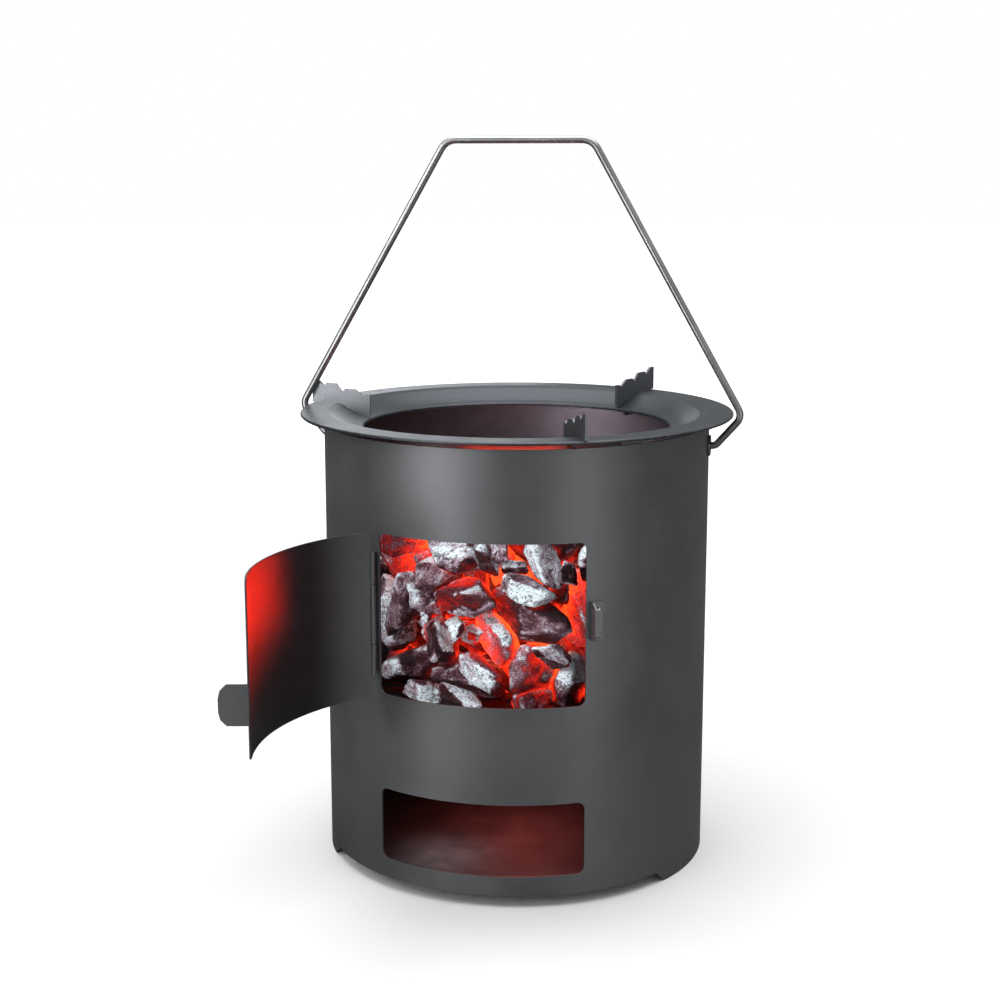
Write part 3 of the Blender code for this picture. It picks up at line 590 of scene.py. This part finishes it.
def roughened(coal, directions, reach):
    """Ledges and dents along the grain, and a few deep splits."""
    grained = (directions * reach[:, None]) @ coal.axes.T
    swell = np.empty(len(grained))
    for k, point in enumerate(grained):
        rough = noise.fractal(Vector(point * ROUGH_SCALE + coal.shift), *FRACTAL)
        near, next_near = noise.voronoi(Vector(point * SPLIT_SCALE + coal.shift))[0][:2]
        split = max(0.0, 1.0 - (next_near - near) / SPLIT_WIDTH) if rough > SPLIT_FROM else 0.0
        ledge = round(LEDGE_STEPS * noise.noise(Vector(point * LEDGE_SCALE + coal.shift)))
        swell[k] = ROUGH_DEPTH * rough + LEDGE_DEPTH * ledge - SPLIT_DEPTH * split
    return reach + np.clip(swell, *SWELL_LIMITS) - SURFACE_INSET, grained


def heat_of(coal, points):
    """How hot each point glows: more in narrow gaps and deep in the bed, less on outer faces."""
    gap = np.full(len(points), WIDEST_GAP)
    for other in coal.near[:HEAT_NEIGHBOURS]:
        away = points - other.seed
        far = np.linalg.norm(away, axis=1)
        gap = np.minimum(gap, far - other.reach(away / far[:, None]))
    crevice = np.exp(-np.maximum(gap, 0) / CREVICE_WIDTH)
    limits = np.array([heap_limit(z) for z in points[:, 2]])
    inside = limits - np.hypot(points[:, 0], points[:, 1])
    under = np.minimum(inside, (HEAP_HIGH - points[:, 2]) * TOP_WEIGHT)
    deep = np.clip((under - COOL_DEPTH) / HOT_DEPTH, 0, 1)
    patch = noise.noise(Vector(coal.seed * PATCH_SCALE) + PATCH_SHIFT)
    core = math.exp(-float(((coal.seed - HOT_SPOT) ** 2).sum()) / HOT_SPOT_REACH**2)
    warm = CREVICE_HEAT * crevice + DEEP_HEAT * deep + OWN_HEAT * (coal.warmth - 0.5)
    warm = warm + PATCH_HEAT * patch + CORE_HEAT * core
    return np.clip(warm - COOLING, 0, 1)


def coal_piece(name, chosen, level):
    """One mesh of several lumps, with what its material needs stored at each point."""
    directions, faces = ball(level)
    places, grains, heats, ashes, faces_met, rims, triangles = [], [], [], [], [], [], []
    for coal in chosen:
        reach, grained = roughened(coal, directions, coal.reach(directions))
        points = coal.seed + directions * reach[:, None]
        triangles.append(faces + sum(len(p) for p in places))
        places.append(points)
        grains.append(grained + coal.shift)
        heats.append(heat_of(coal, points))
        ashes.append(np.full(len(points), coal.ashes))
        tones, rim = coal.faces_seen(directions)
        faces_met.append(tones)
        rims.append(rim)
    mesh = bpy.data.meshes.new(name)
    mesh.from_pydata(np.concatenate(places).tolist(), [], np.concatenate(triangles).tolist())
    mesh.shade_smooth()
    for label, kind, key, values in (
        ("ember", "FLOAT", "value", heats),
        ("ashes", "FLOAT", "value", ashes),
        ("facet", "FLOAT", "value", faces_met),
        ("rim", "FLOAT", "value", rims),
        ("grain", "FLOAT_VECTOR", "vector", grains),
    ):
        attribute = mesh.attributes.new(label, kind, "POINT")
        attribute.data.foreach_set(key, np.concatenate(values).astype(np.float32).ravel())
    piece = bpy.data.objects.new(name, mesh)
    bpy.context.scene.collection.objects.link(piece)
    return piece


# From black char to pale ash. The red-violet tint of the darker and middle tones is painted glow from the
# embers round each lump.
CHAR_ASH_AND_PAINTED_GLOW_TONES = (
    (0.33, (0.018, 0.005, 0.007)),
    (0.42, (0.100, 0.036, 0.048)),
    (0.49, (0.240, 0.138, 0.175)),
    (0.57, (0.42, 0.36, 0.42)),
    (0.68, (0.78, 0.87, 0.93)),
)
GLOW_TONES = (
    (0.30, (0.0, 0.0, 0.0)),
    (0.42, (0.050, 0.001, 0.001)),
    (0.58, (0.34, 0.007, 0.003)),
    (0.76, (0.90, 0.028, 0.006)),
    (1.0, (1.0, 0.110, 0.018)),
)
# Pits in the char, tinted red as painted glow from the embers.
PIT_TONE_WITH_PAINTED_GLOW = (0.030, 0.016, 0.020)
CRACK_TONE = (0.014, 0.009, 0.010)


def glowing_charcoal(name):
    """Black char with a grey-violet and dark red tint that is painted glow from nearby embers, and pale ash
    by patches and fibres, with embers in the gaps and cracks.
    """
    look = Look(name)
    grain = look.attribute("grain").outputs["Vector"]
    ember, ashes, facet, rim = (
        look.attribute(label).outputs["Fac"] for label in ("ember", "ashes", "facet", "rim")
    )
    warp = look.node("ShaderNodeTexNoise", {"Vector": grain, "Scale": 90.0, "Detail": 4.0}).outputs["Color"]
    wander = look.stretch(look.vector("SUBTRACT", warp, (0.5, 0.5, 0.5)), (0.010, 0.010, 0.010))
    bent = look.vector("ADD", grain, wander)
    fibres = look.noise(look.stretch(bent, (110, 900, 900)), 1.0, detail=5.0, rough=0.70)
    blotch = look.noise(look.stretch(grain, (45, 95, 95)), 1.0, detail=7.0, rough=0.66, twist=0.7)
    flakes = look.noise(look.stretch(bent, (420, 700, 700)), 1.0, detail=6.0, rough=0.75)
    checks = look.cell_edges(look.stretch(bent, (150, 260, 260)))
    torn = look.span(look.noise(look.stretch(grain, (60, 90, 90)), 1.0, detail=3.0), 0.50, 0.64)
    crack = look.times(look.span(checks, 0.11, 0.0), torn)
    cover = look.plus(
        look.times(blotch, 0.75),
        look.times(fibres, 0.30),
        look.span(ashes, 0.0, 1.0, -0.19, 0.03),
        look.span(facet, 0.1, 0.9, -0.17, 0.17),
        # Paler cover near the edges of each face: partly pale ash, partly a painted edge highlight.
        look.times(rim, 0.15),
        look.span(look.facing_up(), -0.6, 0.9, -0.06, 0.05),
        look.span(flakes, 0.32, 0.68, -0.07, 0.07),
    )
    pits = look.span(look.noise(bent, 620.0, detail=3.0, rough=0.6), 0.46, 0.38)
    surface = look.mix(look.times(pits, 0.75), look.ramp(cover, CHAR_ASH_AND_PAINTED_GLOW_TONES), PIT_TONE_WITH_PAINTED_GLOW)
    surface = look.mix(look.times(crack, 0.85), surface, CRACK_TONE)
    warm = look.plus(
        ember,
        look.times(look.math("SUBTRACT", blotch, 0.5), -0.95),
        look.span(facet, 0.1, 0.9, 0.16, -0.16),
        look.times(rim, -0.12),
        look.times(look.math("SUBTRACT", flakes, 0.5), 0.55),
        look.times(crack, look.span(ember, 0.20, 0.70, 0.0, 0.35)),
    )
    look.set(Base_Color=surface, Roughness=look.span(cover, 0.35, 0.65, 0.42, 0.85), Metallic=0.0)
    look.set(Specular_IOR_Level=0.22)
    look.set(Emission_Color=look.ramp(warm, GLOW_TONES), Emission_Strength=1.4)
    height = look.plus(look.times(fibres, 0.7), look.times(flakes, 0.8), look.times(crack, -0.9))
    look.set(Normal=look.bump(height, 0.0012, 0.9))
    return look.material


def build_charcoal():
    """The lumps at the window and on top as fine meshes, and the hidden ones as a coarser one."""
    front, top, hidden = [], [], []
    for coal in lay_coals():
        x, y, z = coal.seed
        if math.hypot(x, y) > FRONT_RADIUS and abs(math.atan2(x, -y)) < FRONT_TURN:
            front.append(coal)
        elif z > HEAP_HIGH - TOP_DEPTH:
            top.append(coal)
        else:
            hidden.append(coal)
    material = glowing_charcoal("glowing_charcoal")
    names = sorted(LUMPS)
    share = len(names) // 3
    pieces = []
    for name, chosen, level in (
        ("charcoal_front", front, 4),
        ("charcoal_top", top, 4),
        ("charcoal_bed", hidden, 3),
    ):
        first = len(pieces) * share
        piece = coal_piece(name, chosen, level)
        piece.data.materials.append(material)
        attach(piece, "charcoal")
        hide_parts(*names[first : first + share])
        pieces.append(piece)
    return pieces


# Studio


WHITE = (1, 1, 1)
FLOOR_RADIUS = 14.0
FLOOR_TONES = ((0.93, 0.93, 0.93), (0.5, 0.5, 0.5))
SKY_GREYS = ((0.0, 0.10), (0.40, 0.12), (0.50, 0.18), (0.65, 0.34), (0.9, 0.50))
SKY_TINT = (0.97, 0.985, 1.0)


def area_light(name, place, target, size, watts, colour=WHITE, spread=180):
    """A rectangle of light at a place, facing a target. The spread is in degrees."""
    data = bpy.data.lights.new(name, "AREA")
    data.shape = "RECTANGLE"
    data.size, data.size_y = size
    data.energy = watts
    data.color = colour
    data.spread = math.radians(spread)
    light = bpy.data.objects.new(name, data)
    light.location = place
    light.rotation_euler = (Vector(target) - Vector(place)).to_track_quat("-Z", "Y").to_euler()
    light.visible_camera = False
    bpy.context.scene.collection.objects.link(light)
    return light


def around(azimuth, distance, height):
    """A place at a compass angle round the stove, in degrees, where -90 is in front of the window."""
    turn = math.radians(azimuth)
    return (distance * math.cos(turn), distance * math.sin(turn), height)


def build_floor():
    """A pale floor that fades into the white behind it, far from the stove."""
    bm = bmesh.new()
    bmesh.ops.create_circle(bm, cap_ends=True, segments=96, radius=FLOOR_RADIUS)
    mesh = bpy.data.meshes.new("studio_floor")
    bm.to_mesh(mesh)
    bm.free()
    floor = bpy.data.objects.new("studio_floor", mesh)
    bpy.context.scene.collection.objects.link(floor)
    floor.visible_glossy = False
    look = Look("studio_floor")
    far = look.span(look.vector("LENGTH", look.place()), 0.5, 2.2)
    look.set(Base_Color=look.mix(far, *FLOOR_TONES), Roughness=0.9)
    look.set(Emission_Color=look.mix(far, (0.0, 0.0, 0.0), (1.0, 1.0, 1.0)), Emission_Strength=1.0)
    mesh.materials.append(look.material)


def build_world():
    """White behind the stove, and a dimmer soft surrounding for its reflections."""
    world = bpy.data.worlds.new("studio")
    world.use_nodes = True
    tree = world.node_tree
    seen = tree.nodes["Background"]
    seen.inputs["Color"].default_value = (1.0, 1.0, 1.0, 1.0)
    seen.inputs["Strength"].default_value = 1.0
    around_it = tree.nodes.new("ShaderNodeBackground")
    place = tree.nodes.new("ShaderNodeTexCoord")
    height = tree.nodes.new("ShaderNodeSeparateXYZ")
    fade = tree.nodes.new("ShaderNodeValToRGB")
    fill_ramp(fade, [(share, [part * grey for part in SKY_TINT]) for share, grey in SKY_GREYS])
    up = tree.nodes.new("ShaderNodeMath")
    up.operation = "MULTIPLY_ADD"
    up.inputs[1].default_value = up.inputs[2].default_value = 0.5
    tree.links.new(place.outputs["Generated"], height.inputs[0])
    tree.links.new(height.outputs[2], up.inputs[0])
    tree.links.new(up.outputs[0], fade.inputs[0])
    side = tree.nodes.new("ShaderNodeMapRange")
    for key, value in (("From Min", -0.7), ("From Max", 0.1), ("To Min", 0.62), ("To Max", 1.08)):
        side.inputs[key].default_value = value
    tree.links.new(height.outputs[0], side.inputs["Value"])
    tree.links.new(side.outputs[0], around_it.inputs["Strength"])
    tree.links.new(fade.outputs[0], around_it.inputs["Color"])
    path = tree.nodes.new("ShaderNodeLightPath")
    mix = tree.nodes.new("ShaderNodeMixShader")
    tree.links.new(path.outputs["Is Camera Ray"], mix.inputs[0])
    tree.links.new(around_it.outputs[0], mix.inputs[1])
    tree.links.new(seen.outputs[0], mix.inputs[2])
    tree.links.new(mix.outputs[0], tree.nodes["World Output"].inputs["Surface"])
    bpy.context.scene.world = world


def only_on(pieces, light, shaded_by_others=True):
    """Lets a light fall on these pieces only, with or without shadows from the rest of the stove."""
    lit = bpy.data.collections.new(light.name + "_receivers")
    for piece in pieces:
        lit.objects.link(piece)
    light.light_linking.receiver_collection = lit
    if not shaded_by_others:
        light.light_linking.blocker_collection = lit


def soft_lights():
    """The studio's own lights, which fall on everything."""
    middle = (0, 0, 0.20)
    area_light("key_light", around(-122, 1.6, 0.36), middle, (0.80, 1.1), 8.5)
    area_light("high_light", around(-150, 1.4, 1.10), (0, 0, 0.3), (0.5, 0.5), 5)
    area_light("side_light", around(-42, 1.7, 0.12), middle, (0.80, 1.0), 2.4)
    area_light("top_light", (0.0, 0.3, 2.6), (0, 0, 0), (3.2, 3.2), 80)


def accent_lights(charcoal):
    """Lights that each bring out a part of the stove, and fall on nothing else."""
    shell, pan, ring = NODES["body_shell"], NODES["ash_floor"], NODES["top_ring"]
    coal = area_light("coal_light", around(-122, 0.9, 0.62), (0, -0.1, 0.19), (0.22, 0.22), 8)
    only_on(charcoal, coal, shaded_by_others=False)
    place, target = (-0.085, -0.045, 0.286), (0.060, 0.115, 0.286)
    wall = area_light("wall_light", place, target, (0.05, 0.02), 0.045, (0.95, 0.9, 1), spread=100)
    only_on([shell], wall)
    place, target = (-0.032, -0.088, 0.075), (-0.029, -0.092, 0)
    ash = area_light("pan_light", place, target, (0.03, 0.03), 0.007, (1.0, 0.9, 0.95), spread=75)
    only_on([shell, pan], ash)
    plate = area_light("plate_light", (-0.57, -1.10, 0.17), (-0.135, 0, 0.32), (0.3, 0.3), 1.4)
    only_on([NODES["pot_support_2"]], plate, shaded_by_others=False)
    place, target = (-0.45, 1.10, 0.48), (-0.12, 0, 0.31)
    lip = area_light("lip_light", place, target, (0.5, 0.25), 1.25, (0.92, 0.96, 1.0))
    only_on([ring], lip, shaded_by_others=False)


def ember_lights():
    """The embers' red light on the door's inner edge, under the ring and under the grate."""
    shell, ring = NODES["body_shell"], NODES["top_ring"]
    window = OPENINGS["fire_window"]["box_m"]
    centre_z = (window[0][2] + window[1][2]) / 2
    place = (-0.030, -BODY_RADIUS + 0.012, centre_z + 0.02)
    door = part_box("fire_door")
    target = (door[0].x + 0.026, door[0].y + 0.027, door[1].z - 0.031)
    beam = area_light("ember_window", place, target, (0.03, 0.05), 0.055, (1.0, 0.018, 0.003), spread=42)
    only_on([NODES["fire_door"], NODES["door_handle_tab"]], beam)
    place, target = (0.01, -0.06, HEAP_HIGH + 0.004), (0.01, -0.11, 1)
    slit = area_light("ember_top", place, target, (0.07, 0.05), 0.05, (1.0, 0.055, 0.018))
    only_on([ring, shell], slit)
    place, target = (0.010, -0.03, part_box("fire_grate")[0].z - 0.004), (0.010, -0.055, 0)
    below = area_light("ember_under", place, target, (0.05, 0.08), 0.052, (1.0, 0.17, 0.14), spread=105)
    only_on([NODES["ash_floor"], shell], below)


def build_camera():
    data = bpy.data.cameras.new("camera")
    data.lens = CAMERA_LENS
    data.sensor_width = CAMERA_SENSOR
    camera = bpy.data.objects.new("camera", data)
    camera.location = CAMERA_PLACE
    camera.rotation_euler = (CAMERA_PITCH, 0, CAMERA_TURN)
    bpy.context.scene.collection.objects.link(camera)
    bpy.context.scene.camera = camera


bpy.context.scene.view_settings.view_transform = "Standard"
build_camera()
build_world()
build_floor()
paint_nodes()
charcoal_pieces = build_charcoal()
soft_lights()
accent_lights(charcoal_pieces)
ember_lights()
